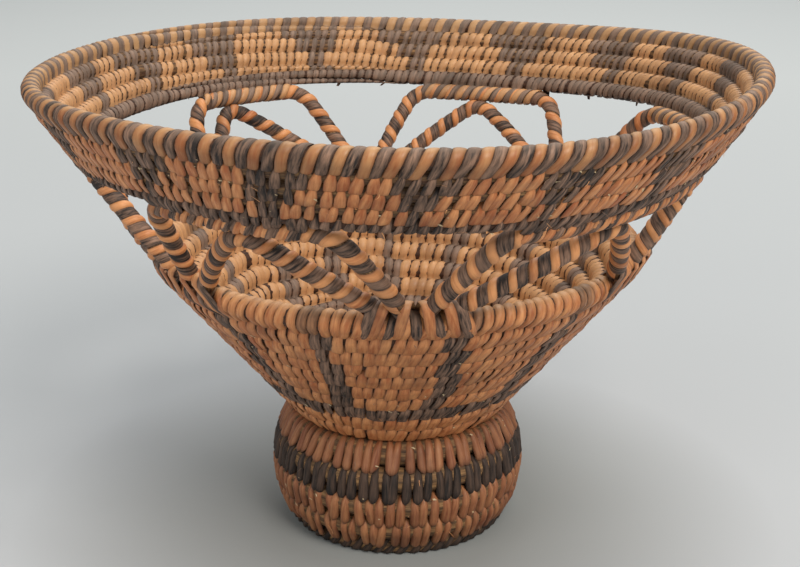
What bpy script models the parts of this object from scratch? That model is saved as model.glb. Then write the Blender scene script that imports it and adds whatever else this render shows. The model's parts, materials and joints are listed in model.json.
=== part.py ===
"""Coiled basket on a tall foot, with open work between its bowl and the band under its rim.

A bundle of plant fibre is wound round and round, and each round is stitched to the one before it.
From the ground up it has a foot, a floor and bowl, six wrapped hoops with a peaked rod inside each,
a band of close rounds and a rim. Sizes are in metres. +Z is up, and the origin is on the ground
under the middle of the foot. Angles are from the front (-Y), positive to the right (+X).
"""
import math

import bpy
from mathutils import Vector

MM = 0.001
DEG = math.pi / 180
TURN = 360 * DEG
UPRIGHT = 90 * DEG

# Clearances
SEAT_GAP = 0.3 * MM
ROUND_GAP = 0.5 * MM

# Winding, the same for every coil
STEPS = 24
SPLICE_STEPS = 4
SPLICE_ANGLE = -120 * DEG
TIP_RADIUS = 0.8 * MM
CORD_SIDES = 6  # what a bevel resolution of 1 gives
CORD_RESOLUTION = 1

# Foot: its wall leans out at the ground and in at the top
FOOT_PITCH = 11.25 * MM
FOOT_RADIUS = 43.5 * MM
FOOT_LEAN_LOW = 34 * DEG
FOOT_LEAN_HIGH = -31 * DEG
FOOT_CUT = 0.1  # share of the base round's thickness that is cut flat
FOOT_LOWER_ROUNDS = 2

# Floor and bowl
BOWL_PITCH = 9.15 * MM
BOWL_LEAN = 39 * DEG
BOWL_TURN = 18.3 * MM
FLOOR_ROUNDS = 3
BOWL_LOWER_ROUNDS = 3
BOWL_UPPER_ROUNDS = 6

# Open work and band, on one straight slope from the bowl's rim
UPPER_LEAN = 33 * DEG
OPENWORK_HEIGHT = 58.0 * MM
BAND_PITCH = 7.28 * MM
BAND_ROUNDS = 3

# Hand-made shape of the band: an oval, and a rim that rises and falls
OVAL = 1.7 * MM
RISE_TWO = -1.6 * MM
RISE_THREE = -1.5 * MM
RISE_SIDE = 1.1 * MM

# Rods of the open work
ROD_RADIUS = 3.55 * MM
HOOP_BEND = 9 * MM
PEAK_BEND = 2.8 * MM
PEAK_TOP = 7 * MM
LEG_STEPS = 5
BEND_STEPS = 4
ROD_RESOLUTION = 2
FOOT_SPREAD = 4.3 * MM
PEAK_SPREAD = 13.0 * MM

# Where each hoop starts and ends on the bowl's rim, where its two corners are, and its peak
VALLEYS = [angle * DEG for angle in (-50.5, 3.5, 61, 130, 189, 243)]
LEFT_CORNERS = [angle * DEG for angle in (-42.5, 17, 73, 143.8, 202.2, 254)]
RIGHT_CORNERS = [angle * DEG for angle in (-9.5, 64.5, 114, 175.8, 229.2, 293)]
PEAKS = [angle * DEG for angle in (-25, 37, 93.5, 160.8, 221, 275)]

# Colours of the fibre: red, green, blue
TAN = (0.55, 0.23, 0.09)
PALE_TAN = (0.66, 0.33, 0.13)
BLACK = (0.05, 0.04, 0.035)
FIBRE_ROUGHNESS = 0.6
KNOT_RINGS = 8

foot_cord = (FOOT_PITCH - ROUND_GAP) / 2
bowl_cord = (BOWL_PITCH - ROUND_GAP) / 2
band_cord = (BAND_PITCH - ROUND_GAP) / 2
hoop_level = OPENWORK_HEIGHT - band_cord - SEAT_GAP - ROD_RADIUS
peak_level = hoop_level - SEAT_GAP - 2 * ROD_RADIUS
rod_seat = bowl_cord + SEAT_GAP + ROD_RADIUS


def clear_scene():
    for old in list(bpy.data.objects):
        bpy.data.objects.remove(old, do_unlink=True)


def clamp(value):
    return min(1.0, max(0.0, value))


def mix(low, high, share):
    return low + (high - low) * share


def ease(share):
    """A share that starts and ends level."""
    share = clamp(share)
    return share * share * (3 - 2 * share)


def place(radius, height, angle):
    return Vector((radius * math.sin(angle), -radius * math.cos(angle), height))


def lowest_corner(lean):
    """How far a six-sided cord of radius 1 reaches down when one corner faces along the wall."""
    first = UPRIGHT - lean
    return max(-math.sin(first + TURN * side / CORD_SIDES) for side in range(CORD_SIDES))


# Each wall gives radius, height and corner for a round number and an angle: corner is the way that
# one of the cord's six corners faces, so that neighbouring rounds meet corner to corner. The foot and
# the bowl are round, so the angle changes nothing there.

def along_arc(lean, bend, length):
    """Outward and upward travel on a wall whose lean changes by bend for each metre."""
    after = lean + bend * length
    return (math.cos(lean) - math.cos(after)) / bend, (math.sin(after) - math.sin(lean)) / bend


def foot_wall(number, _angle):
    """The foot's wall is an arc whose lean changes steadily from the ground up."""
    length = (FOOT_LOWER_ROUNDS + 2) * FOOT_PITCH
    bend = (FOOT_LEAN_HIGH - FOOT_LEAN_LOW) / length
    out, up = along_arc(FOOT_LEAN_LOW, bend, number * FOOT_PITCH)
    base = foot_cord * (lowest_corner(FOOT_LEAN_LOW) - 2 * FOOT_CUT)
    corner = UPRIGHT - FOOT_LEAN_LOW - bend * number * FOOT_PITCH
    return FOOT_RADIUS + out, base + up, corner


def bowl_path(along):
    """Outward and upward travel and lean, from the edge of the flat floor up the bowl."""
    if along <= 0:
        return along, 0, UPRIGHT
    bend = (BOWL_LEAN - UPRIGHT) / BOWL_TURN
    curved = min(along, BOWL_TURN)
    straight = along - curved
    out, up = along_arc(UPRIGHT, bend, curved)
    return (out + straight * math.sin(BOWL_LEAN), up + straight * math.cos(BOWL_LEAN),
            UPRIGHT + bend * curved)


def bowl_wall(number, _angle):
    """Rounds up to 0 lie in the floor, and round 1 is stitched to the foot's top round."""
    radius, height, _ = foot_wall(FOOT_LOWER_ROUNDS + 2, 0)
    reach = foot_cord + SEAT_GAP + bowl_cord * math.cos(math.pi / CORD_SIDES)
    seat_out, seat_up, _ = bowl_path(BOWL_PITCH)
    out, up, lean = bowl_path(number * BOWL_PITCH)
    return (radius + reach * math.sin(FOOT_LEAN_HIGH) + out - seat_out,
            height + reach * math.cos(FOOT_LEAN_HIGH) + up - seat_up,
            UPRIGHT - lean)


def upper_wall(along, angle):
    """Radius and height on the slope over the bowl's rim, with the band's hand-made shape."""
    radius, height, _ = bowl_wall(bowl_rim_number(), 0)
    share = clamp((along - rod_seat) / (peak_level - rod_seat))
    out = OVAL * math.cos(2 * angle)
    up = RISE_TWO * math.cos(2 * angle) + RISE_THREE * math.sin(3 * angle) + RISE_SIDE * math.sin(angle)
    return (radius + along * math.sin(UPPER_LEAN) + share * out,
            height + along * math.cos(UPPER_LEAN) + share * up)


def band_wall(number, angle):
    radius, height = upper_wall(OPENWORK_HEIGHT + number * BAND_PITCH, angle)
    return radius, height, UPRIGHT - UPPER_LEAN


def bowl_rim_number():
    return BOWL_LOWER_ROUNDS + BOWL_UPPER_ROUNDS + 2


def coil_route(wall, first, rounds, pitch):
    """Stations of one unbroken cord: middle, radius and tilt.

    Each round stays level and climbs to the next in the last steps of its turn. Both ends taper
    there too, the start under the climb and the end over it, so the coil's two edges are level
    and the next coil lies on it all the way round.
    """
    tip = (TIP_RADIUS + ROUND_GAP / 2) / pitch
    route = []
    for step in range(-SPLICE_STEPS, rounds * STEPS + 1):
        lap, since = divmod(step + SPLICE_STEPS, STEPS)
        splicing = since <= SPLICE_STEPS
        share = mix(tip, 0.5 - tip, ease(since / SPLICE_STEPS)) if splicing else 0.5
        half = 0.5
        if lap == 0:
            half = share
            number = first - 0.5 + share
        elif lap == rounds:
            half = 0.5 - share
            number = first + rounds - 1 + share
        else:
            number = first + lap - 1 + 2 * share
        angle = SPLICE_ANGLE + TURN * step / STEPS
        radius, height, corner = wall(number, angle)
        route.append((place(radius, height, angle), half * pitch - ROUND_GAP / 2, -corner))
    return route


def least_gap(route):
    """The coil's smallest distance to itself, between stations that lie one over the other."""
    pairs = zip(route, route[STEPS:])
    return min((low - high).length - thin - thick for (low, thin, _), (high, thick, _) in pairs)


def fibre(name, colour):
    material = bpy.data.materials.new(name)
    material.use_nodes = True
    shader = material.node_tree.nodes["Principled BSDF"]
    shader.inputs["Base Color"].default_value = (*colour, 1)
    shader.inputs["Roughness"].default_value = FIBRE_ROUGHNESS
    shader.inputs["Metallic"].default_value = 0
    return material


def tube(name, route, resolution, twist, colour):
    """One cord or rod as a bevelled curve with closed ends."""
    curve = bpy.data.curves.new(name, "CURVE")
    curve.dimensions = "3D"
    curve.twist_mode = twist
    curve.bevel_depth = 1.0
    curve.bevel_resolution = resolution
    curve.use_fill_caps = True
    spline = curve.splines.new("POLY")
    spline.points.add(len(route) - 1)
    for point, (middle, radius, tilt) in zip(spline.points, route):
        point.co = (*middle, 1)
        point.radius = radius
        point.tilt = tilt
    cord = bpy.data.objects.new(name, curve)
    cord.data.materials.append(fibre(name, colour))
    bpy.context.collection.objects.link(cord)
    return cord


def coil(name, wall, first, rounds, pitch, colour):
    route = coil_route(wall, first, rounds, pitch)
    print(f"{name}: least gap to itself {least_gap(route) / MM:.2f} mm")
    return tube(name, route, CORD_RESOLUTION, "Z_UP", colour)


def as_mesh(cord):
    """The same cord as a mesh, which a Boolean can cut."""
    name = cord.name
    shape = bpy.data.meshes.new_from_object(cord.evaluated_get(bpy.context.evaluated_depsgraph_get()))
    material = cord.data.materials[0]
    bpy.data.objects.remove(cord, do_unlink=True)
    shape.materials.clear()
    shape.materials.append(material)
    solid = bpy.data.objects.new(name, shape)
    solid.name = name
    bpy.context.collection.objects.link(solid)
    return solid


def ground_cutter(reach, depth):
    """A slab whose top is the ground, for what stands on it."""
    shape = bpy.data.meshes.new("ground_cutter")
    corners = [(x * reach, y * reach, z) for z in (-depth, 0) for y in (-1, 1) for x in (-1, 1)]
    faces = [(0, 2, 3, 1), (4, 5, 7, 6), (0, 1, 5, 4), (2, 6, 7, 3), (0, 4, 6, 2), (1, 3, 7, 5)]
    shape.from_pydata(corners, [], faces)
    cutter = bpy.data.objects.new("ground_cutter", shape)
    cutter.hide_render = True
    cutter.display_type = "WIRE"
    bpy.context.collection.objects.link(cutter)
    return cutter


def foot():
    base = as_mesh(coil("foot_base_round", foot_wall, 0, 1, FOOT_PITCH, BLACK))
    cut = base.modifiers.new("stand flat", "BOOLEAN")
    cut.operation = "DIFFERENCE"
    cut.solver = "EXACT"
    cut.object = ground_cutter(2 * FOOT_RADIUS, FOOT_PITCH)
    coil("foot_lower_coil", foot_wall, 1, FOOT_LOWER_ROUNDS, FOOT_PITCH, TAN)
    coil("foot_dark_round", foot_wall, FOOT_LOWER_ROUNDS + 1, 1, FOOT_PITCH, BLACK)
    coil("foot_top_round", foot_wall, FOOT_LOWER_ROUNDS + 2, 1, FOOT_PITCH, TAN)


def start_knot():
    """The tight knot that the floor is wound from: a flattened ball on the steps of the coil."""
    edge, height, _ = bowl_wall(0.5 - FLOOR_ROUNDS, 0)
    radius = edge + ROUND_GAP / 2 - SEAT_GAP
    rows = []
    for ring in range(1, KNOT_RINGS):
        slope = math.pi * ring / KNOT_RINGS - UPRIGHT
        rows.append((radius * math.cos(slope), height + bowl_cord * math.sin(slope)))
    points = [place(r, z, SPLICE_ANGLE + TURN * step / STEPS) for r, z in rows for step in range(STEPS)]
    faces = []
    for row in range(len(rows) - 1):
        for step in range(STEPS):
            here = row * STEPS + step
            beside = row * STEPS + (step + 1) % STEPS
            faces.append((here, beside, beside + STEPS, here + STEPS))
    faces.append(tuple(reversed(range(STEPS))))
    faces.append(tuple(range(len(points) - STEPS, len(points))))
    shape = bpy.data.meshes.new("start_knot")
    shape.from_pydata(points, [], faces)
    shape.shade_smooth()
    shape.materials.append(fibre("start_knot", TAN))
    bpy.context.collection.objects.link(bpy.data.objects.new("start_knot", shape))


def bowl():
    dark = BOWL_LOWER_ROUNDS + 1
    coil("floor_coil", bowl_wall, 1 - FLOOR_ROUNDS, FLOOR_ROUNDS, BOWL_PITCH, TAN)
    coil("bowl_lower_coil", bowl_wall, 1, BOWL_LOWER_ROUNDS, BOWL_PITCH, TAN)
    coil("bowl_dark_round", bowl_wall, dark, 1, BOWL_PITCH, BLACK)
    coil("bowl_upper_coil", bowl_wall, dark + 1, BOWL_UPPER_ROUNDS, BOWL_PITCH, TAN)
    coil("bowl_rim_coil", bowl_wall, bowl_rim_number(), 1, BOWL_PITCH, PALE_TAN)


def on_steps(angle, along):
    """A point of the open work's slope, on the straight runs that the coils have there."""
    step = TURN / STEPS
    before = math.floor((angle - SPLICE_ANGLE) / step) * step + SPLICE_ANGLE
    low = place(*upper_wall(along, before), before)
    high = place(*upper_wall(along, before + step), before + step)
    return low.lerp(high, (angle - before) / step)


def rod_route(feet, corners, level, bend):
    """Stations of an arched rod, between two feet on the bowl's rim and two corners at one level."""
    rim_radius = upper_wall(rod_seat, 0)[0]
    top_radius = upper_wall(level, 0)[0]
    flat = (rim_radius + top_radius) / 2
    legs = []
    for foot_angle, corner_angle, inward in zip(feet, corners, (1, -1)):
        across = abs(corner_angle - foot_angle) * flat
        share = across / math.hypot(across, level - rod_seat)
        seat = bowl_cord + SEAT_GAP + ROD_RADIUS * share
        corner = Vector((corner_angle, level))
        rise = Vector(((corner_angle - foot_angle) * flat, level - seat))
        below = corner - Vector((rise.x / flat, rise.y)) * (bend / rise.length)
        beside = corner + Vector((inward * bend / flat, 0))
        start = Vector((foot_angle, seat))
        leg = [start.lerp(below, step / LEG_STEPS) for step in range(LEG_STEPS)]
        for step in range(BEND_STEPS + 1):
            share = step / BEND_STEPS
            leg.append(below.lerp(corner, share).lerp(corner.lerp(beside, share), share))
        legs.append(leg)
    step = TURN / STEPS
    left, right = legs[0][-1].x, legs[1][-1].x
    first = math.ceil((left - SPLICE_ANGLE) / step)
    last = math.floor((right - SPLICE_ANGLE) / step)
    run = [Vector((SPLICE_ANGLE + step * number, level)) for number in range(first, last + 1)]
    run = [spot for spot in run if min(spot.x - left, right - spot.x) * flat > ROD_RADIUS / 2]
    flat_route = legs[0] + run + legs[1][::-1]
    return [(on_steps(spot.x, spot.y), ROD_RADIUS, 0) for spot in flat_route]


def open_work():
    rim_radius = upper_wall(rod_seat, 0)[0]
    peak_radius = upper_wall(peak_level, 0)[0]
    for number, valley in enumerate(VALLEYS):
        after = VALLEYS[(number + 1) % len(VALLEYS)]
        if after < valley:
            after += TURN
        corners = (LEFT_CORNERS[number], RIGHT_CORNERS[number])
        hoop_feet = (valley + FOOT_SPREAD / rim_radius, after - FOOT_SPREAD / rim_radius)
        tube(f"openwork_hoop_{number + 1}", rod_route(hoop_feet, corners, hoop_level, HOOP_BEND),
             ROD_RESOLUTION, "MINIMUM", PALE_TAN)
        half_top = PEAK_TOP / 2 / peak_radius
        corners = (PEAKS[number] - half_top, PEAKS[number] + half_top)
        peak_feet = (valley + PEAK_SPREAD / rim_radius, after - PEAK_SPREAD / rim_radius)
        tube(f"openwork_peak_{number + 1}", rod_route(peak_feet, corners, peak_level, PEAK_BEND),
             ROD_RESOLUTION, "MINIMUM", PALE_TAN)


def band():
    coil("band_dark_round", band_wall, 0, 1, BAND_PITCH, BLACK)
    coil("band_coil", band_wall, 1, BAND_ROUNDS, BAND_PITCH, TAN)
    coil("rim_coil", band_wall, BAND_ROUNDS + 1, 1, BAND_PITCH, PALE_TAN)


def main():
    clear_scene()
    foot()
    start_knot()
    bowl()
    open_work()
    band()


main()
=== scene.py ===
"""Looks of a coiled basket on a tall foot: sewn rounds, wrapped rods, a pale floor and soft studio light.

Sizes are in metres in the CAD frame: +Z up, -Y to the viewer, angles from the front, positive to the right.
"""

import json
import math

import bpy
import numpy as np
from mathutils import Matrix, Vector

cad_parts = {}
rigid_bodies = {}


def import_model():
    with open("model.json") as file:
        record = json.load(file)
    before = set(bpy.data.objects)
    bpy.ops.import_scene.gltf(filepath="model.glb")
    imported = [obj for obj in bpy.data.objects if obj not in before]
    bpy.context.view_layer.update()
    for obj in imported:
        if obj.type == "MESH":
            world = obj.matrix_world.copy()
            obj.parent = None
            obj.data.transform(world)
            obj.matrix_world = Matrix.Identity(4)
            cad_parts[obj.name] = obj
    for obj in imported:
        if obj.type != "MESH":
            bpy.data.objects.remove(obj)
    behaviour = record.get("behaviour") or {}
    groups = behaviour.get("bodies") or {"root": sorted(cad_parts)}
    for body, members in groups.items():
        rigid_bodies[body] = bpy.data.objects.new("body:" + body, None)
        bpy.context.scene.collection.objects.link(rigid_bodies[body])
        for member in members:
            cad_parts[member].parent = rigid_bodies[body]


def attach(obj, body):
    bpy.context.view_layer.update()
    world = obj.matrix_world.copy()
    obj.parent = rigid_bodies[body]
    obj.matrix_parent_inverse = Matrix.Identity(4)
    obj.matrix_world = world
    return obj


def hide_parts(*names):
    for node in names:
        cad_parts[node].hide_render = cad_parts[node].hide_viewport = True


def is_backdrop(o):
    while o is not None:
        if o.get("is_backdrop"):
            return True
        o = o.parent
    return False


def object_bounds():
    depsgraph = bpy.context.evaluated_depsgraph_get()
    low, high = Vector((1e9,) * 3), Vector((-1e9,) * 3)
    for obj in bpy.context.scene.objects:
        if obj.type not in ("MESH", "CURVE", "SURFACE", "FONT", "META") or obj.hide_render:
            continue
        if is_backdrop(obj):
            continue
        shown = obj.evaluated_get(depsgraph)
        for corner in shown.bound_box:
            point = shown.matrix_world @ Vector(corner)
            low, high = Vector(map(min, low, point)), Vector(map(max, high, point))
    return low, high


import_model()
cad_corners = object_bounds()


# Foot. Five rounds that lean out at the ground and in at the top: a black one that the basket stands on, two
# tan, one black and one tan. A round is a bundle of straw, and long plump strips of split plant stem go
# round it and sew it to the round below. The straw shows between the rows.

MM = 0.001
TURN = 2 * math.pi
# A coil starts, climbs on to its next round and ends over the sixth of a turn before the splice
SPLICE = math.radians(-120)
CLIMB = TURN / 6
# Radius and height of the base round's middle line
FOOT_RADIUS = 43.5 * MM
FOOT_LIFT = 3.76 * MM
FOOT_HEIGHT = 45 * MM
FOOT_LEAN = (math.radians(34), math.radians(-31))
FOOT_PITCH = 11.25 * MM
# Round number of the foot's top round, which carries the bowl
FOOT_TOP = 4
GROUND_CLEARANCE = 0.2 * MM


def linear(colour):
    """A linear RGBA colour from an sRGB one such as "c88250"."""
    parts = [int(colour[i:i + 2], 16) / 255 for i in (0, 2, 4)]
    return (*[c / 12.92 if c < 0.04045 else ((c + 0.055) / 1.055) ** 2.4 for c in parts], 1)


def add(tree, kind, inputs=(), **settings):
    """A new shader node: settings are its properties, inputs its values or the sockets they come from."""
    made = tree.nodes.new("ShaderNode" + kind)
    for key, value in settings.items():
        setattr(made, key, value)
    for key, value in dict(inputs).items():
        if isinstance(value, bpy.types.NodeSocket):
            tree.links.new(value, made.inputs[key])
        else:
            made.inputs[key].default_value = value
    return made


def fibre(name, pale, deep, stain_and_shade, inside, roughness, coat=0.0, grain=0.5, gap_shade_strength=0.6, lines=2.2):
    """Plant stem or straw, which gives the eye fine streaks along it and a tone of its own on each strip.

    pale and deep are the ends of its tones. The stain colour serves for real blotches, and also as painted
    shade that darkens the gaps at the edges and ends of strips and between reeds. inside is its tone inside
    the basket, painted light where the inside is lit more. lines is the grain's lines to a millimetre,
    drawn coarser than real grain, which is too fine to show. A mesh brings two attributes: strand, in
    millimetres across and along a strip, and one of tone and painted shading, which is the strip's tone,
    its painted shade and its share of painted inside light, each from 0 to 1.
    """
    material = bpy.data.materials.new(name)
    material.use_nodes = True
    tree = material.node_tree
    shader = tree.nodes["Principled BSDF"]
    strand = add(tree, "Attribute", attribute_name="strand").outputs["Vector"]
    tone_and_shading = add(tree, "Attribute", attribute_name="tone_and_shading").outputs["Vector"]
    tone, gap_shade, inside_light = add(tree, "SeparateXYZ", {0: tone_and_shading}).outputs
    # Streaks some 7 mm long, and broader ones 1.4 mm wide and 8 mm long
    streaks = add(tree, "VectorMath", {0: strand, 1: (lines, 0.15, 1)}, operation="MULTIPLY").outputs[0]
    fine = add(tree, "TexNoise", {"Vector": streaks, "Scale": 1.0, "Detail": 4.0,
                                  "Roughness": 0.6}).outputs[0]
    streaks = add(tree, "VectorMath", {0: strand, 1: (0.7, 0.12, 1)}, operation="MULTIPLY").outputs[0]
    broad = add(tree, "TexNoise", {"Vector": streaks, "Scale": 1.0, "Detail": 2.0}).outputs[0]
    # Blotches some 16 mm across that run over many strips
    spot = add(tree, "TexCoord").outputs["Object"]
    blotch = add(tree, "TexNoise", {"Vector": spot, "Scale": 1 / (16 * MM), "Detail": 3.0, "Roughness": 0.55})
    share = add(tree, "Math", {0: fine, 1: 0.5 * grain, 2: tone}, operation="MULTIPLY_ADD").outputs[0]
    share = add(tree, "Math", {0: broad, 1: 0.6, 2: share}, operation="MULTIPLY_ADD").outputs[0]
    share = add(tree, "MapRange", {"Value": share, "From Min": 0.5 + 0.25 * grain,
                                   "From Max": 1.0 + 0.25 * grain}).outputs[0]
    # Painted light: the share of a strip inside the basket is mixed towards the inside tone
    inside_light = add(tree, "Math", {0: inside_light, 1: 0.55}, operation="MULTIPLY").outputs[0]
    blotch = add(tree, "MapRange", {"Value": blotch.outputs[0], "From Min": 0.5, "From Max": 0.78,
                                    "To Max": 0.55}).outputs[0]
    # Painted shade: the gaps at edges, ends and grooves are mixed towards the stain colour
    gap_shade = add(tree, "Math", {0: gap_shade, 1: gap_shade_strength}, operation="MULTIPLY").outputs[0]
    colour = linear(pale)
    for part, other in ((share, deep), (inside_light, inside), (blotch, stain_and_shade), (gap_shade, stain_and_shade)):
        colour = add(tree, "Mix", {0: part, 6: colour, 7: linear(other)}, data_type="RGBA").outputs[2]
    shine = add(tree, "MapRange", {"Value": fine, "From Min": 0.3, "From Max": 0.7,
                                   "To Min": roughness - 0.08, "To Max": roughness + 0.12}).outputs[0]
    bump = add(tree, "Bump", {"Height": fine, "Strength": 0.3 * grain, "Distance": 0.18 * MM}).outputs[0]
    for key, value in {"Base Color": colour, "Roughness": shine, "Normal": bump}.items():
        tree.links.new(value, shader.inputs[key])
    shader.inputs["IOR"].default_value = 1.5
    shader.inputs["Coat Weight"].default_value = coat
    shader.inputs["Coat Roughness"].default_value = 0.3
    return material


# Bundled straw: dull, and painted dark as painted shade for the deep shade it lies in, so it shows as brown slits
# with a lit reed here and there
straw = fibre("straw_bundle", "c79a63", "4a2c19", "24160e", "7a5a3c", 0.75, grain=1.2, gap_shade_strength=0.9)
# Tan stem, split and worn on the ground: duller than the bowl's, and darker, both from wear and as painted shade
# low under the bowl
foot_strip = fibre("tan_split_stem_worn_and_shaded", "a9734a", "7c4326", "3a2016", "bf8352", 0.57,
                   grain=1.5, gap_shade_strength=0.7, lines=1.3)
# Stem dyed black, split and worn: matt, with brown streaks, and nearly black, darker than the bowl's black as
# painted shade low under the bowl
foot_black = fibre("black_dyed_stem_worn_and_shaded", "4f3a2c", "140d09", "100b09", "8f7a6a", 0.7,
                   grain=2.6, gap_shade_strength=0.7, lines=1.2)


def along_arc(lean, bend, length):
    """How far out and up a wall goes over a length, from its lean at the start and its bend."""
    after = lean + bend * length
    return (math.cos(lean) - np.cos(after)) / bend, (np.sin(after) - math.sin(lean)) / bend


def foot_wall(number, angle):
    """Radius, height and lean of the foot's wall at a round number, for an angle round the basket."""
    bend = (FOOT_LEAN[1] - FOOT_LEAN[0]) / FOOT_HEIGHT
    out, up = along_arc(FOOT_LEAN[0], bend, number * FOOT_PITCH)
    return FOOT_RADIUS + out, FOOT_LIFT + up, FOOT_LEAN[0] + bend * number * FOOT_PITCH


def place(radius, height, angle, lean, out, up):
    """A point beside a wall's middle line: out is square to the wall and up runs along it."""
    across = radius + out * np.cos(lean) + up * np.sin(lean)
    return np.stack([across * np.sin(angle), -across * np.cos(angle),
                     height - out * np.sin(lean) + up * np.cos(lean)], -1)


def lay(turned, rounds):
    """Round number and size of a coil, counted from its first round, after it has turned that far.

    A coil grows from a thin end over its first climb, with a short steep step at both ends of a climb, and
    it thins out the same way at its end.
    """
    lap = np.clip(np.floor((turned + CLIMB) / TURN), 0, rounds)
    since = np.clip((turned + CLIMB - lap * TURN) / CLIMB, 0, 1)
    step = np.clip(8 * since, 0, 1) + np.clip(8 * since - 7, 0, 1)
    share = 0.13 * step + 0.24 * since * since * (3 - 2 * since)
    start, end = lap == 0, lap == rounds
    size = np.where(start, share, np.where(end, 0.5 - share, 0.5)) * 2
    number = np.where(start, share - 0.5, np.where(end, rounds - 1 + share, lap - 1 + 2 * share))
    return number, np.maximum(size, 0.1)


def patches(name, points, strand, tone_and_shading, chosen, materials):
    """One mesh of many patches. points, strand and wear are (patch, along, across, 3).

    chosen says which of the materials each patch has.
    """
    count, along, across = points.shape[:3]
    index = np.arange(count * along * across).reshape(count, along, across)
    quads = np.stack([index[:, :-1, :-1], index[:, :-1, 1:], index[:, 1:, 1:], index[:, 1:, :-1]], -1)
    mesh = bpy.data.meshes.new(name)
    mesh.from_pydata(points.reshape(-1, 3).tolist(), [], quads.reshape(-1, 4).tolist())
    for key, values in (("strand", strand), ("tone_and_shading", tone_and_shading)):
        attribute = mesh.attributes.new(key, "FLOAT_VECTOR", "POINT")
        attribute.data.foreach_set("vector", values.astype(np.float32).ravel())
    for material in materials:
        mesh.materials.append(material)
    per_patch = (along - 1) * (across - 1)
    mesh.polygons.foreach_set("material_index", np.repeat(np.asarray(chosen, np.int32), per_patch))
    mesh.shade_smooth()
    piece = bpy.data.objects.new(name, mesh)
    bpy.context.scene.collection.objects.link(piece)
    return piece


def strip_path(reach_out, reach_in, free, lift, proud, arc=9):
    """Where strips run over a round, in half pitches: out and up of its middle, and the way off the round.

    reach is how far each end goes down the round below, as an angle from that round's top, and lift is
    how much higher a strip goes that takes in a rod lying on the round. A free strip has nothing below
    it and goes right round.
    """
    ends = []
    for reach in (reach_out, reach_in):
        tip = np.stack([1.06 * np.sin(reach), -2 + 1.06 * np.cos(reach)], -1)
        sunk = np.stack([0.78 * np.sin(reach + 0.14), -2 + 0.78 * np.cos(reach + 0.14)], -1)
        leave = np.arctan2(tip[:, 1], tip[:, 0]) + np.arccos(np.minimum(proud / np.hypot(*tip.T), 1))
        touch = proud * np.stack([np.cos(leave), np.sin(leave)], -1)
        bite = [sunk] + [tip + (touch - tip) * share for share in (0, 0.2, 0.5, 0.8)]
        ends.append((leave, np.stack(bite, 1)))
    around = np.linspace(ends[0][0], math.pi - ends[1][0], arc, axis=1)
    raised = np.reshape(lift, (-1, 1)) * (np.sin(around) > 0.3)
    over = np.stack([proud * np.cos(around) * (1 - 0.12 * raised), proud * np.sin(around) + raised], -1)
    line = np.concatenate([ends[0][1], over, (ends[1][1] * (-1, 1))[:, ::-1]], 1)
    whole = np.linspace(-0.56, 1.56, line.shape[1]) * math.pi
    line[free] = proud * np.stack([np.cos(whole), np.sin(whole)], -1)
    step = np.gradient(line, axis=1)
    away = np.stack([step[..., 1], -step[..., 0]], -1)
    away /= np.linalg.norm(away, axis=2)[..., None]
    gone = np.cumsum(np.linalg.norm(np.diff(line, axis=1), axis=2), axis=1)
    length = np.concatenate([0 * line[:, :1, 0], gone], 1)
    share = (math.pi / 2 - around[:, 0]) / (around[:, -1] - around[:, 0])
    top = np.where(free, length[:, -1] / 2, length[:, 5] + share * (length[:, -6] - length[:, 5]))
    return line, away, length - top[:, None]


def rows(rounds, per_turn):
    """How far round each strip of a coil sits, and the room that it has. Each row starts half a strip on."""
    per_turn = np.broadcast_to(per_turn, rounds)
    turned = [np.arange(-CLIMB * 0.98, 0, TURN / per_turn[0])]
    for lap, count in enumerate(per_turn):
        turned.append(lap * TURN + (np.arange(count) + 0.25 + 0.5 * (lap % 2)) * TURN / count)
    room = [np.full(len(part), TURN / per_turn[max(lap - 1, 0)]) for lap, part in enumerate(turned)]
    return np.concatenate(turned), np.concatenate(room)


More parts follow.
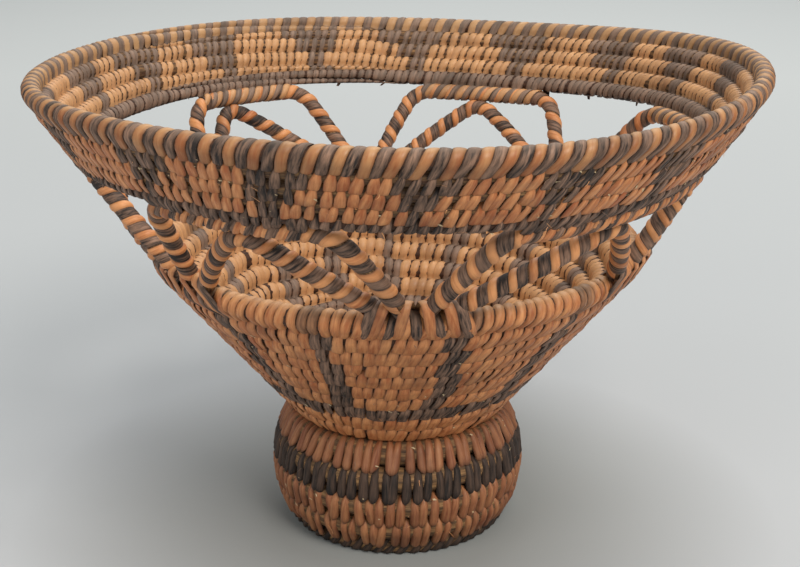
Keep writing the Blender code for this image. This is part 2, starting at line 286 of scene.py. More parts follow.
def sew(name, wall, first, rounds, pitch, places, materials, slope=0.06, plump=(0.05, 0.3), reach=(1.0, 0.45),
        fill=1.02, head=0.78, slim=0.92, edge=0.13, dark=None, free=None, lift=0.0, proud=1.02, loose=1.0,
        start=SPLICE, seed=1):
    """The strips of one coil, at the given places, which are counted from the start angle.

    A strip shows as a plump patch whose lower edge covers the heads of the next row. slope is how far it
    leans, plump how high its middle stands over its edges outside and inside, reach how far its ends go
    down the round below, fill its share of its room, head its share of that width at the top, slim the
    width of a black strip beside a tan one, edge how far its edges turn down, proud how far off the middle
    of the round it runs, and loose how uneven the strips are. dark picks a strip's material.
    """
    rng = np.random.default_rng(seed)
    turned, room = places
    total = len(turned)
    half = pitch / 2
    angle = start + turned
    number, size = lay(turned, rounds)
    chosen = np.zeros(total, int)
    if dark is not None:
        chosen = dark(np.round(number) + first, angle, np.arange(total)).astype(int)
    line, away, length = strip_path(reach[0] + rng.normal(0, 0.07, total) * loose,
                                    reach[1] + rng.normal(0, 0.05, total) * loose,
                                    np.zeros(total, bool) if free is None else free(angle), lift, proud)
    across = np.array([-1, -0.84, -0.45, 0, 0.45, 0.84, 1])
    radius = wall(first + number, angle)[0] * np.ones(total)
    lean = (slope(angle) if callable(slope) else slope) + rng.normal(0, 0.05, total) * loose
    shift = rng.normal(0, 0.035, total) * room * loose
    wide = room * fill * (1 + rng.normal(0, 0.04, total) * loose) * np.where(chosen, slim, 1)
    # gone runs from 0 at the top to 1 at either tip, and inside from 0 to 1 as a strip passes over the top
    gone = length / np.where(length < 0, length[:, :1], length[:, -1:])
    below = np.clip(2.4 * gone - 0.5, 0, 1)
    inside = np.clip(0.5 + length, 0, 1)
    swell = np.maximum(head + (1 - head) * below * below * (3 - 2 * below), 1.16 * inside)
    swell = swell * np.where(length < 0, np.interp(gone, (0.88, 0.96, 1), (1, 0.95, 0.85)),
                             np.interp(gone, (0.7, 0.92, 1), (1, 0.9, 0.7)))
    run = (turned + shift)[:, None] + length * half * (lean / radius)[:, None] * size[:, None]
    turn = run[:, :, None] + across * (wide[:, None] * swell)[:, :, None] / 2
    number, size = lay(turn, rounds)
    angle = start + turn
    radius, height, wall_lean = wall(number + first, angle)
    bulge = (plump[0] + (plump[1] - plump[0]) * inside) * (1 + rng.normal(0, 0.15, total) * loose)[:, None]
    tilt = (rng.normal(0, 0.05, total) * loose)[:, None, None] * across
    rise = -bulge[:, :, None] * across ** 2 - (edge * (1 - 0.5 * inside))[:, :, None] * across ** 10 + tilt
    # An end is cut aslant, so one corner reaches further
    cut = (rng.normal(-0.1, 0.13, total) * loose)[:, None, None] * across * (gone ** 8)[:, :, None]
    out = (line[:, :, None, 0] + away[:, :, None, 0] * rise + away[:, :, None, 1] * cut) * half * size
    up = (line[:, :, None, 1] + away[:, :, None, 1] * rise - away[:, :, None, 0] * cut) * half * size
    points = place(radius, height, angle, wall_lean, out, up)
    points[..., 2] = np.maximum(points[..., 2], GROUND_CLEARANCE)
    # Each strip comes from its own place in a stem, so no two have the same grain
    stem = (rng.random(total) * 90)[:, None, None]
    strand = np.stack(np.broadcast_arrays(across * pitch / 4 / MM, length[:, :, None] * half / MM, stem), -1)
    tone = np.clip(rng.normal(0.45, 0.06, total), 0, 1)
    # Painted shade on the edges and ends of each strip, less inside the basket, and the inside share, which the
    # material paints paler as painted light
    gap_shade = np.maximum(np.abs(across) ** 6, (gone ** 12)[:, :, None]) * (1 - 0.4 * inside[:, :, None])
    tone_and_shading = np.stack(np.broadcast_arrays(tone[:, None, None], gap_shade, inside[:, :, None]), -1)
    return patches(name, points, strand, tone_and_shading, chosen, materials)


def bundle(name, wall, first, rounds, pitch, pressed, tone, stout=0.84, reeds=9):
    """The straw inside one coil, an unbroken cord. It is pressed to its full size below and above, where it
    meets its neighbours, and is stout of that size where it has none and at its sides, which show the reeds.
    """
    per_round = 144
    turn = np.linspace(-CLIMB, rounds * TURN, per_round * rounds + per_round // 6)[:, None]
    ring = np.linspace(0, TURN, 4 * reeds + 1)
    number, size = lay(turn, rounds)
    radius, height, lean = wall(number + first, SPLICE + turn)
    groove = np.abs(np.sin(reeds / 2 * ring + 1.5 * turn))
    reach = size * pitch / 2 * (1 - 0.07 * groove)
    reach = reach * np.minimum(1, np.minimum(turn + CLIMB, rounds * TURN - turn) * 25 + 0.02)
    points = place(radius, height, SPLICE + turn, lean, stout * np.cos(ring) * reach,
                   np.where(ring > math.pi, *pressed) * np.sin(ring) * reach)[None]
    points[..., 2] = np.maximum(points[..., 2], 2 * GROUND_CLEARANCE)
    flat = 0 * points[..., 0]
    strand = np.stack([ring * pitch / 2 / MM + flat, turn * radius / MM + flat, first + flat], -1)
    # Painted shade in the grooves between the reeds
    gap_shade = 0.8 * np.abs(np.cos(reeds / 2 * ring + 1.5 * turn)) ** 3
    tone_and_shading = np.stack([tone + flat, gap_shade + flat, flat], -1)
    return patches(name, points, strand, tone_and_shading, [0], [straw])


def coil(node, wall, first, rounds, pitch, per_turn, materials, slot, pressed=(1, 1), tone=0.9, **how):
    """One coil: its straw, of the given tone, stands for the CAD node, and its strips ride with it."""
    # tone sets how far the straw is darkened as painted shade, for the shade it lies in under the strips
    cord = bundle(node + "_straw", wall, first, rounds, pitch, pressed, tone)
    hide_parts(node)
    strips = sew(node + "_strips", wall, first, rounds, pitch, rows(rounds, per_turn), materials,
                 seed=len(bpy.data.objects), **how)
    for piece in (cord, strips):
        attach(piece, "root")


def all_dark(number, angle, index):
    return np.ones(len(angle))


def all_free(angle):
    return np.ones(len(angle), bool)


FOOT_STRIPS = {"slope": 0.03, "plump": (0.2, 0.2), "fill": 0.95, "head": 0.86, "slim": 0.9, "tone": 0.55}
coil("foot_base_round", foot_wall, 0, 1, FOOT_PITCH, 60, [foot_strip, foot_black], "black_splint",
     dark=all_dark, free=all_free, pressed=(0.84, 1), **{**FOOT_STRIPS, "slope": 0.5, "fill": 1.0})
coil("foot_lower_coil", foot_wall, 1, 2, FOOT_PITCH, 73, [foot_strip, foot_black], "tan_splint",
     reach=(0.86, 0.45), **FOOT_STRIPS)
coil("foot_dark_round", foot_wall, 3, 1, FOOT_PITCH, 73, [foot_strip, foot_black], "black_splint",
     dark=all_dark, **{**FOOT_STRIPS, "fill": 0.96, "slim": 0.97, "tone": 0.5})
coil("foot_top_round", foot_wall, FOOT_TOP, 1, FOOT_PITCH, 72, [foot_strip, foot_black], "tan_splint",
     **FOOT_STRIPS)


# Floor and bowl. Straw sewn with split stem, wound from a tight knot, first flat and then up the bowl. A
# black round runs low on the bowl, and black lines two strips wide climb from it to the round at the bowl's
# rim, where two or three strips over each line have lost their black dye.

# Between one round's cord and the next, and under a piece that is seated on a round
ROUND_GAP = 0.5 * MM
SEAT_GAP = 0.3 * MM
BOWL_PITCH = 9.15 * MM
BOWL_CORD = (BOWL_PITCH - ROUND_GAP) / 2
BOWL_LEAN = math.radians(39)
# Length of the curve from the flat floor to the straight side
BOWL_TURN = 18.3 * MM
# Round numbers of the knot and the bowl's rim
KNOT = -3.05
BOWL_RIM = 11
KNOT_STRIPS = 9
STRIP_WIDTH = 4.3 * MM
RIM_STRIP_WIDTH = 4.1 * MM
SPOKE_HALF_WIDTH = 4.2 * MM
SPOKES = np.radians([-42, -17.3, 14.2, 43.5, 72, 100, 128, 157, 182.4, 205, 228, 254, 286])

# Tan stem, split and scraped: warm and satin, with red-brown streaks, and paler inside the bowl, which is painted
# light
tan_strip = fibre("tan_split_stem_satin", "d9965f", "a45a2d", "45271a", "caa678", 0.5,
                  grain=1.5, gap_shade_strength=0.7, lines=1.3)
# Stem dyed black and split: matt, from brown where the dye is thin to nearly black
black_strip = fibre("black_dyed_stem_matt", "92705a", "1f1510", "18110e", "8f7a6a", 0.64,
                    grain=2.8, gap_shade_strength=0.7, lines=1.2)
# Dyed stem that has faded: a brown between the other two
faded_strip = fibre("faded_dyed_stem", "a87650", "63412c", "3a2418", "9a8062", 0.55,
                    grain=1.8, gap_shade_strength=0.7, lines=1.2)


def bowl_path(along):
    """How far out and up the bowl is at a length along it from the flat floor's edge, and its lean there."""
    bend = (BOWL_LEAN - TURN / 4) / BOWL_TURN
    curved = np.clip(along, 0, BOWL_TURN)
    straight = np.maximum(along - curved, 0)
    out, up = along_arc(TURN / 4, bend, curved)
    return (out + np.minimum(along, 0) + straight * math.sin(BOWL_LEAN), up + straight * math.cos(BOWL_LEAN),
            TURN / 4 + bend * curved)


def bowl_wall(number, angle):
    """Radius, height and lean of the floor and the bowl. Round 1 lies on the foot's top round."""
    radius, height = foot_wall(FOOT_TOP, angle)[:2]
    reach = (FOOT_PITCH - ROUND_GAP) / 2 + SEAT_GAP + BOWL_CORD * math.cos(TURN / 12)
    seat_out, seat_up = bowl_path(BOWL_PITCH)[:2]
    out, up, lean = bowl_path(np.asarray(number) * BOWL_PITCH)
    return (radius + reach * math.sin(FOOT_LEAN[1]) + out - seat_out,
            height + reach * math.cos(FOOT_LEAN[1]) + up - seat_up, lean)


def spokes(number, angle, index):
    """Which strips belong to a dark line up the bowl."""
    away = np.abs((angle[:, None] - SPOKES + math.pi) % TURN - math.pi).min(1)
    return away * bowl_wall(number, angle)[0] < SPOKE_HALF_WIDTH


def faded_at_spokes(number, angle, index):
    """Above each spoke, the rim has two or three strips whose dye has gone brown: the third material."""
    return 2 * spokes(number, angle, index)


def bowl_coil(node, first, rounds, slot, width=STRIP_WIDTH, materials=(tan_strip, black_strip), **how):
    """A coil of the bowl, with as many strips to each round as its width allows."""
    per_turn = [round(TURN * float(bowl_wall(first + lap, 0.0)[0]) / width) for lap in range(rounds)]
    coil(node, bowl_wall, first, rounds, BOWL_PITCH, per_turn, materials, slot, **how)


BOWL_STRIPS = {"slope": 0.16, "plump": (0.01, 0.3), "edge": 0.08, "fill": 1.08, "loose": 0.9}
coil("start_knot", bowl_wall, KNOT, 1, BOWL_PITCH, KNOT_STRIPS, [tan_strip, black_strip], "tan_splint",
     plump=(0.2, 0.2))
bowl_coil("floor_coil", -2, 3, "tan_splint")
bowl_coil("bowl_lower_coil", 1, 3, "tan_splint", **BOWL_STRIPS)
bowl_coil("bowl_dark_round", 4, 1, "black_splint", dark=all_dark, **BOWL_STRIPS)
bowl_coil("bowl_upper_coil", 5, 6, "tan_splint", dark=spokes, **BOWL_STRIPS)
bowl_coil("bowl_rim_coil", BOWL_RIM, 1, "glossy_splint", RIM_STRIP_WIDTH,
          (tan_strip, black_strip, faded_strip), pressed=(1, 0.84), plump=(0.11, 0.2), reach=(0.85, 0.6),
          slope=0.15, head=0.97, edge=0.09, fill=1.0, loose=0.7, dark=faded_at_spokes)


# Open work. Six hoops stand on the bowl's rim, and a peaked rod stands inside each. A rod is a thin bundle
# of straw with a tan and a black strip wound round it in turn, at a pitch that changes from leg to leg. The
# rim that they carry is a little oval and uneven, and the wall takes on that shape over their height.

UPPER_LEAN = math.radians(33)
OPENWORK_HEIGHT = 58 * MM
BAND_PITCH = 7.28 * MM
BAND_CORD = (BAND_PITCH - ROUND_GAP) / 2
ROD_RADIUS = 3.55 * MM
ROD_SEAT = BOWL_CORD + SEAT_GAP + ROD_RADIUS
HOOP_LEVEL = OPENWORK_HEIGHT - BAND_CORD - SEAT_GAP - ROD_RADIUS
PEAK_LEVEL = HOOP_LEVEL - SEAT_GAP - 2 * ROD_RADIUS
HOOP_BEND = 9 * MM
PEAK_BEND = 2.8 * MM
PEAK_HALF_TOP = 3.5 * MM
# How far the feet of hoops and peaks stand from the middle of the valley between two units
HOOP_FOOT = 4.3 * MM
PEAK_FOOT = 13 * MM
VALLEYS = (-50.5, 3.5, 61, 130, 189, 243)
LEFT_CORNERS = (-42.5, 17, 73, 143.8, 202.2, 254)
RIGHT_CORNERS = (-9.5, 64.5, 114, 175.8, 229.2, 293)
PEAKS = (-25, 37, 93.5, 160.8, 221, 275)
# Turns of the two strips on each left leg, run and right leg, and on each side of a peak
HOOP_TURNS = ((6, 10, 4.6), (5, 14, 6.5), (7, 11, 5.5), (4.5, 8, 5.5), (5, 6.4, 4), (5, 9, 7))
PEAK_TURNS = ((6, 7.4), (8.2, 5.2), (7, 6), (6, 6.5), (6.5, 4.5), (7, 7))
# Points on a leg, on a bend and on the run between two bends
LEG_POINTS = 89
BEND_POINTS = 20
RUN_POINTS = 120
# A rod's core is thinner than the rod, to leave room for its strips
CORE_RADIUS = ROD_RADIUS - 0.55 * MM
# Radius in millimetres at which the strips' grain is measured
STRIP_GRAIN_RADIUS = 3.5


def upper_wall(along, angle):
    """Radius, height and lean of the wall over the bowl, at a length along it from the bowl's rim."""
    radius, height = bowl_wall(BOWL_RIM, angle)[:2]
    share = np.clip((along - ROD_SEAT) / (PEAK_LEVEL - ROD_SEAT), 0, 1)
    out = 1.7 * MM * np.cos(2 * angle)
    up = (-1.6 * np.cos(2 * angle) - 1.5 * np.sin(3 * angle) + 1.1 * np.sin(angle)) * MM
    return (radius + along * math.sin(UPPER_LEAN) + share * out,
            height + along * math.cos(UPPER_LEAN) + share * up, UPPER_LEAN)


def rod_line(feet, corners, level, bend):
    """Angle and level along an arched rod, every millimetre or less."""
    flat = (upper_wall(ROD_SEAT, 0)[0] + upper_wall(level, 0)[0]) / 2
    legs = []
    for foot, corner, inward in zip(feet, corners, (1, -1)):
        across = abs(corner - foot) * flat
        seat = BOWL_CORD + SEAT_GAP + ROD_RADIUS * across / math.hypot(across, level - ROD_SEAT)
        start, corner = np.array([foot, seat]), np.array([corner, level])
        rise = (corner - start) * (flat, 1)
        below = corner - rise / (flat, 1) * bend / np.hypot(*rise)
        beside = corner + (inward * bend / flat, 0)
        share = np.linspace(0, 1, LEG_POINTS + 1)[:-1, None]
        leg = start + (below - start) * share
        share = np.linspace(0, 1, BEND_POINTS)[:, None]
        curve = (1 - share) ** 2 * below + 2 * share * (1 - share) * corner + share ** 2 * beside
        legs.append(np.concatenate([leg, curve]))
    share = np.linspace(0, 1, RUN_POINTS + 2)[1:-1, None]
    run = legs[0][-1] + (legs[1][-1] - legs[0][-1]) * share
    return np.concatenate([legs[0], run, legs[1][::-1]])


def rod(node, line, turns, bends):
    """A wrapped rod: its core stands for the CAD node, and its two strips ride with it.

    turns is how often they go round between one of the line's points in bends and the next.
    """
    radius, height, lean = upper_wall(line[:, 1], line[:, 0])
    middle = place(radius, height, line[:, 0], lean, 0, 0)
    out = place(radius, height, line[:, 0], lean, 1, 0) - middle
    gone = np.concatenate([[0], np.cumsum(np.linalg.norm(np.diff(middle, axis=0), axis=1))])
    # Every half millimetre along the rod
    spots = np.arange(0, gone[-1], 0.5 * MM)
    middle = np.stack([np.interp(spots, gone, middle[:, k]) for k in range(3)], -1)
    out = np.stack([np.interp(spots, gone, out[:, k]) for k in range(3)], -1)
    ahead = np.gradient(middle, axis=0)
    ahead /= np.linalg.norm(ahead, axis=1)[:, None]
    side = np.cross(ahead, out)

    def on_rod(along, around, reach):
        at = [[np.interp(along, spots, part[:, k]) for k in range(3)] for part in (middle, out, side)]
        at = [np.stack(part, -1) for part in at]
        way = np.cos(around)[..., None] * at[1] + np.sin(around)[..., None] * at[2]
        return at[0] + reach[..., None] * way

    along, around = np.meshgrid(np.arange(0, spots[-1], 2 * MM), np.linspace(0, TURN, 13), indexing="ij")
    flat = 0 * along
    points = on_rod(along, around, flat + CORE_RADIUS)[None]
    strand = np.stack([around * CORE_RADIUS / MM, along / MM, flat + len(bpy.data.objects)], -1)[None]
    # The core's straw is darkened as painted shade, for the shade it lies in under its wraps
    core = patches(node + "_core", points, strand, np.stack([flat + 0.6, flat, flat], -1)[None], [0], [straw])
    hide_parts(node)
    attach(core, "root")

    phase = np.interp(spots, gone[list(bends)], TURN * np.concatenate([[0], np.cumsum(turns)]))
    rng = np.random.default_rng(len(bpy.data.objects))
    steps = np.arange(0, phase[-1] - TURN / 2, TURN / 20)
    across = np.array([-1, -0.8, -0.45, 0, 0.45, 0.8, 1])
    each = np.arange(int(steps[-1] / TURN) + 3)
    shapes, strands, tones_and_shadings = [], [], []
    # The tan strip is raised and round, and the black one wide and flat
    for black, crest, fall in ((0, 0.3, 0.75), (1, -0.05, 0.25)):
        centre = np.interp(steps + black * TURN / 2, phase, spots)
        pitch = np.interp(centre, spots, np.gradient(spots) / np.maximum(np.gradient(phase), 1e-6)) * TURN
        uneven = [np.interp(steps, each * TURN, rng.normal(0, 1, len(each))) for _ in range(3)]
        wide = pitch / 2 * (0.94 + 0.14 * black + 0.05 * uneven[0])
        along = centre[:, None] + across * wide[:, None] / 2 + (0.03 * uneven[1] * pitch)[:, None]
        along = np.clip(along, 0, spots[-1])
        reach = ROD_RADIUS + (crest - fall * np.abs(across) ** 2.4) * MM + 0 * along
        shapes.append(on_rod(along, -steps[:, None] + 0 * across, reach))
        tone = 0.3 + 0.18 * black + 0.1 * uneven[2]
        strand = (across * wide[:, None] / 2 / MM, steps[:, None] * STRIP_GRAIN_RADIUS, rng.random() * 90)
        strands.append(np.stack(np.broadcast_arrays(*strand), -1))
        # Painted shade darkens the edges of both strips, where they meet
        tones_and_shadings.append(np.stack(np.broadcast_arrays(tone[:, None], np.abs(across) ** 6, 0.0), -1))
    wound = patches(node + "_wraps", np.stack(shapes), np.stack(strands), np.stack(tones_and_shadings), [0, 1],
                    [tan_strip, black_strip])
    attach(wound, "root")


seat_radius = upper_wall(ROD_SEAT, 0)[0]
# Which points of a rod's line are the middle of a bend, counted from its own end, and of the run
mid_bend = LEG_POINTS + BEND_POINTS // 2
mid_run = LEG_POINTS + BEND_POINTS + RUN_POINTS // 2
for unit, valley in enumerate(VALLEYS):
    after = VALLEYS[(unit + 1) % 6]
    after += 360 * (after < valley)
    feet = np.radians([valley, after]) + np.array([HOOP_FOOT, -HOOP_FOOT]) / seat_radius
    corners = np.radians([LEFT_CORNERS[unit], RIGHT_CORNERS[unit]])
    rod(f"openwork_hoop_{unit + 1}", rod_line(feet, corners, HOOP_LEVEL, HOOP_BEND), HOOP_TURNS[unit],
        (0, mid_bend, -1 - mid_bend, -1))
    feet = np.radians([valley, after]) + np.array([PEAK_FOOT, -PEAK_FOOT]) / seat_radius
    half_top = PEAK_HALF_TOP / upper_wall(PEAK_LEVEL, 0)[0]
    corners = math.radians(PEAKS[unit]) + np.array([-half_top, half_top])
    rod(f"openwork_peak_{unit + 1}", rod_line(feet, corners, PEAK_LEVEL, PEAK_BEND), PEAK_TURNS[unit],
        (0, mid_run, -1))


# Lashings. Where the feet of two hoops and two peaks meet, tan and black strips of split stem in turn bind
# them down to the bowl's rim. A strip that crosses a foot goes over it, and the others go over the rim alone.

LASHING_PITCH = 3.6 * MM
# A strip whose middle is this near to the middle of a rod's foot crosses the foot
ACROSS_FOOT = 2.3 * MM


def in_turn(number, angle, index):
    return index % 2


for unit, valley in enumerate(VALLEYS):
    spots = np.arange(-5, 6) * LASHING_PITCH
    to_foot = np.abs(np.abs(spots)[:, None] - (HOOP_FOOT, PEAK_FOOT)).min(1)
    places = (CLIMB + spots / seat_radius, np.full(len(spots), LASHING_PITCH / seat_radius))
    lashing = sew(f"valley_lashing_{unit + 1}", bowl_wall, BOWL_RIM, 1, BOWL_PITCH, places,
                  [tan_strip, black_strip], slope=-0.28 * np.tanh(spots / (6 * MM)), plump=(0.05, 0.1),
                  reach=(0.84, 0.8), fill=1.16, head=0.97, slim=1.0, edge=0.08, loose=0.5, dark=in_turn,
                  lift=np.where(to_foot < ACROSS_FOOT, 1.7, 0.1), proud=1.08,
                  start=math.radians(valley) - CLIMB, seed=60 + unit)
    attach(lashing, "root")


# Band and rim. Straw sewn with strips of split stem: a black round that is tied to the hoops with tan and
# black strips in turn, three tan rounds with black steps that narrow downwards, and a polished rim of tan
# and black in turn. The strips lean more and more to the right-hand side.

BAND_STRIPS = 212
RIM_STRIPS = 216
FIGURES = np.radians([-101.8, -120.9, -140.8, -162.5, 176, 153.3, 130.7, 110.2, 91.1, 66, 41.3, 22.2, 3.9,
                      -15.8, -35.4, -57.5, -79.6])
# Half the width of a figure on the first, second and third tan round
FIGURE_REACH = np.radians([1.6, 3.5, 5.2])

# Tan stem, split and polished by handling: browner than the bowl's, with a faint shine
rim_strip = fibre("tan_split_stem_polished", "b38051", "98572b", "3e2214", "caa678", 0.52, coat=0.02,
                  grain=1.3, gap_shade_strength=0.8, lines=1.2)


def band_wall(number, angle):
    """Radius, height and lean of the band at a round number, counted from its black round."""
    return upper_wall(OPENWORK_HEIGHT + number * BAND_PITCH, angle)


def figures(number, angle, index):
    """Which strips belong to a black step. The figures lean with the strips and are wider at the back."""
    middle = FIGURES + np.radians(0.9) * (number[:, None] - 2)
    away = np.abs((angle[:, None] - middle + math.pi) % TURN - math.pi).min(1)
    reach = FIGURE_REACH[np.clip(number.astype(int) - 1, 0, 2)]
    return away < reach * (1 - 0.18 * np.cos(angle))


def band_slope(angle):
    return 0.24 + 0.08 * np.sin(angle)


def rim_slope(angle):
    return 0.32 + 0.2 * np.sin(angle)


def clear_of_hoops(angle):
    """Where no hoop runs under the band."""
    turned = np.degrees(angle) % 360
    hoops = zip(LEFT_CORNERS, RIGHT_CORNERS)
    return ~np.any([(turned - left - 2) % 360 < right - left - 4 for left, right in hoops], axis=0)


coil("band_dark_round", band_wall, 0, 1, BAND_PITCH, BAND_STRIPS, [tan_strip, black_strip], "black_splint",
     pressed=(0.84, 1), slope=band_slope, head=0.6, reach=(0.8, 0.45), free=clear_of_hoops, dark=all_dark)
for unit, (left, right) in enumerate(zip(LEFT_CORNERS, RIGHT_CORNERS)):
    spots = CLIMB + np.radians(np.arange(3, (right - left) % 360 - 3, 360 / BAND_STRIPS))
    ties = sew(f"hoop_ties_{unit + 1}", band_wall, -1, 1, BAND_PITCH,
               (spots, np.full(len(spots), TURN / BAND_STRIPS)), [tan_strip, black_strip], slope=0.5,
               plump=(0.12, 0.12), fill=0.92, head=1, free=all_free, proud=1.1, dark=in_turn,
               start=math.radians(left) - CLIMB, seed=80 + unit)
    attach(ties, "root")
coil("band_coil", band_wall, 1, 3, BAND_PITCH, BAND_STRIPS, [tan_strip, black_strip], "tan_splint",
     slope=band_slope, head=0.56, plump=(0.02, 0.3), fill=0.99, slim=0.86, tone=0.6, dark=figures)
coil("rim_coil", band_wall, 4, 1, BAND_PITCH, RIM_STRIPS, [rim_strip, black_strip], "glossy_splint",
     pressed=(1, 0.84), slope=rim_slope, plump=(0.07, 0.1), reach=(1.0, 0.5), fill=0.97, head=0.98,
     slim=0.98, edge=0.16, loose=0.8, dark=in_turn)


# Frayed fibres. Fine shreds that have split off the strips' edges, short pale flecks of the stem's soft
# inside, which stand out a little from the band, the bowl and the foot, and the cut ends of strips.

# Soft inside of the stem, laid bare: pale, dry and matt
pith = fibre("pale_stem_pith", "d6c29c", "a58760", "7e6040", "ccb892", 0.8, grain=1.0, gap_shade_strength=0.3, lines=2.0)


def fray(name, wall, low, high, cord, count, seed):
    """Shreds and flecks over the rounds of a wall, from one round number to another."""
    rng = np.random.default_rng(seed)
    # A tan shred, a black shred or a pale fleck
    kind = rng.choice(3, count, p=(0.35, 0.2, 0.45))
    fleck = (kind == 2)[:, None]
    along = np.linspace(0, 1, 7)
    turn = rng.uniform(0, TURN, (count, 1))
    number = rng.uniform(low, high, (count, 1))
    curl = rng.normal(0, 0.5, (count, 1)) * MM * np.sin(math.pi * along)
    drift = rng.normal(0, 1.6, (count, 1)) * np.where(fleck, 0.4, 1) * MM * along + curl
    drop = rng.normal(0, 1.4, (count, 1)) * np.where(fleck, 0.4, 1) * MM * along - curl
    stand = rng.uniform(0.2, 1.4, (count, 1)) * np.where(fleck, 0.25, 1) * along ** 1.5
    stand = 1.03 * cord + (stand - 0.05) * MM
    radius, height, lean = wall(number, turn)
    width = rng.uniform(0.1, 0.2, (count, 1)) * np.where(fleck, 2.6, 1) * MM * (1 - 0.6 * along)
    across = np.array([-1, 0, 1])
    points = place(radius[..., None], height[..., None],
                   (turn + drift / radius)[..., None] + across * (width / radius)[..., None],
                   np.reshape(lean + 0 * radius, (-1, 1, 1)),
                   stand[..., None] + 0.04 * MM * (1 - across ** 2), drop[..., None])
    strand = np.stack(np.broadcast_arrays(across * 0.2, along[None, :, None] * 5, turn[..., None] * 14), -1)
    # Each shred and fleck takes a little of the paler inside tone, which is painted light
    tone_and_shading = np.stack(np.broadcast_arrays(0.3 + 0 * points[..., 0], 0.0, 0.3), -1)
    shreds = patches(name, points, strand, tone_and_shading, kind, [tan_strip, black_strip, pith])
    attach(shreds, "root")


def cut_ends(name, wall, number, cord, angles, seed):
    """Stubs of strips that were cut off where they came out under a round, most of them black."""
    rng = np.random.default_rng(seed)
    count = len(angles)
    along = np.linspace(0, 1, 6)
    across = np.array([-1, -0.7, 0, 0.7, 1])
    turn = np.radians(angles)[:, None] + rng.normal(0, 0.004, (count, 1)) * along
    way = np.radians(rng.uniform(-80, -45, (count, 1))) + rng.normal(0, 0.25, (count, 1)) * along
    far = 0.93 * cord + rng.uniform(1.4, 2.4, (count, 1)) * MM * along
    width = rng.uniform(0.6, 0.9, (count, 1)) * MM * (1 - 0.25 * along ** 3)
    radius, height, lean = wall(number, turn)
    thick = 0.35 * MM * (1 - across ** 2)
    points = place(radius[..., None], height[..., None],
                   turn[..., None] + across * (width / radius)[..., None], lean,
                   (far * np.cos(way))[..., None] - np.sin(way)[..., None] * thick,
                   (far * np.sin(way))[..., None] + np.cos(way)[..., None] * thick)
    strand = np.stack(np.broadcast_arrays(across * 0.9, along[None, :, None] * 3, turn[..., None] * 14), -1)
    # Painted shade darkens the stubs' edges
    tone_and_shading = np.stack(np.broadcast_arrays(0.5 + 0 * points[..., 0], np.abs(across) ** 6, 0.0), -1)
    stubs = patches(name, points, strand, tone_and_shading, rng.random(count) < 0.75, [tan_strip, black_strip])
    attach(stubs, "root")


fray("band_fray", band_wall, -0.4, 3.6, BAND_CORD, 380, 8)
fray("bowl_fray", bowl_wall, 1, 10.5, BOWL_CORD, 300, 9)
fray("foot_fray", foot_wall, 0.5, 4.2, FOOT_PITCH / 2, 80, 10)
cut_ends("band_cut_ends", band_wall, 0, BAND_CORD, (-167, -119, -55, -47, 3, 12, 69, 121, 135, 183), 3)


# Floor. A wide sheet of pale grey card with no marks, which shows the basket's shadow and a painted shadow
# as well: it is drawn a little darker round the foot, and painted paler further off, out to 1.2 m.

# Distances from the middle where the painted shadow round the foot starts to fade, where it meets the milder
# painted shade, and where that ends
NEAR_FOOT = 0.06
SHADE_EDGE = 0.17
FAR_OFF = 1.2

bpy.ops.mesh.primitive_plane_add(size=12)
floor = bpy.context.object
floor.name = "studio_floor"
# Uncoated card: matt, cool grey, with no grain that shows at this distance
card = bpy.data.materials.new("pale_grey_card")
card.use_nodes = True
tree = card.node_tree
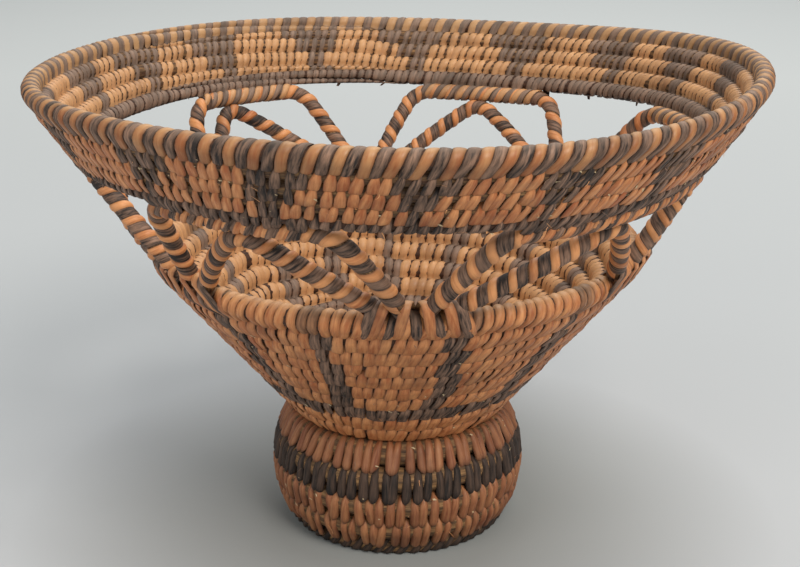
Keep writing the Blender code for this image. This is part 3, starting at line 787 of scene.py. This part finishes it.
# Painted shadow: darkest round the foot, then a milder painted shade that grows paler out to 1.2 m away
away = add(tree, "VectorMath", {0: add(tree, "TexCoord").outputs["Object"]}, operation="LENGTH").outputs[1]
near = add(tree, "MapRange", {"Value": away, "From Min": NEAR_FOOT, "From Max": SHADE_EDGE}).outputs[0]
far = add(tree, "MapRange", {"Value": away, "From Min": SHADE_EDGE, "From Max": FAR_OFF}).outputs[0]
tone = add(tree, "Mix", {0: near, 6: linear("8f9392"), 7: linear("babec1")}, data_type="RGBA").outputs[2]
tone = add(tree, "Mix", {0: far, 6: tone, 7: linear("ced2d2")}, data_type="RGBA").outputs[2]
tree.links.new(tone, tree.nodes["Principled BSDF"].inputs["Base Color"])
tree.nodes["Principled BSDF"].inputs["Roughness"].default_value = 0.9
floor.data.materials.append(card)
floor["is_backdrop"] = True


# Light. A broad soft box overhead and behind, a smaller one in front on the right, a faint one on the
# left, and an even pale surround.

def lamp(name, spot, target, size, power, colour):
    """A round soft box that faces its target."""
    data = bpy.data.lights.new(name, "AREA")
    data.shape = "DISK"
    data.size = size
    data.energy = power
    data.color = linear(colour)[:3]
    light = bpy.data.objects.new(name, data)
    light.location = spot
    way = np.array(target) - np.array(spot)
    tip = math.acos(-way[2] / np.linalg.norm(way))
    light.rotation_euler = (tip, 0, math.atan2(way[0], -way[1]) + math.pi)
    bpy.context.scene.collection.objects.link(light)


lamp("overhead_soft_box", (0.3, 1.6, 2.4), (0, 0.7, 0), 2.4, 38, "fdfcfa")
lamp("right_soft_box", (0.6, -1.0, 1.3), (0, 0, 0.1), 0.8, 21.5, "fff8f0")
lamp("left_soft_box", (-1.0, -0.8, 0.7), (0, 0, 0.12), 0.8, 3.5, "fcfaf8")
world = bpy.data.worlds.new("pale_surround")
world.use_nodes = True
world.node_tree.nodes["Background"].inputs["Color"].default_value = linear("e9ebea")
world.node_tree.nodes["Background"].inputs["Strength"].default_value = 0.47
bpy.context.scene.world = world
bpy.context.scene.view_settings.view_transform = "Standard"


# Camera. It stands half a metre in front, a little higher than the rim, and looks down at the basket, as
# the photograph's did. Its lens and its small shift put the rim and the foot where the photograph has them.

TILT = math.radians(19.11)

camera = bpy.data.objects.new("camera", bpy.data.cameras.new("camera"))
camera.data.lens = 57.95
camera.data.sensor_width = 36
camera.data.shift_x = 0.0031
camera.location = (0, -0.525, 0.2868)
camera.rotation_euler = (TURN / 4 - TILT, 0, 0)
camera.data.clip_start = 0.01
bpy.context.scene.collection.objects.link(camera)
bpy.context.scene.camera = camera

corners = {"cad": [list(corner) for corner in cad_corners], "looks": [list(corner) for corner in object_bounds()]}
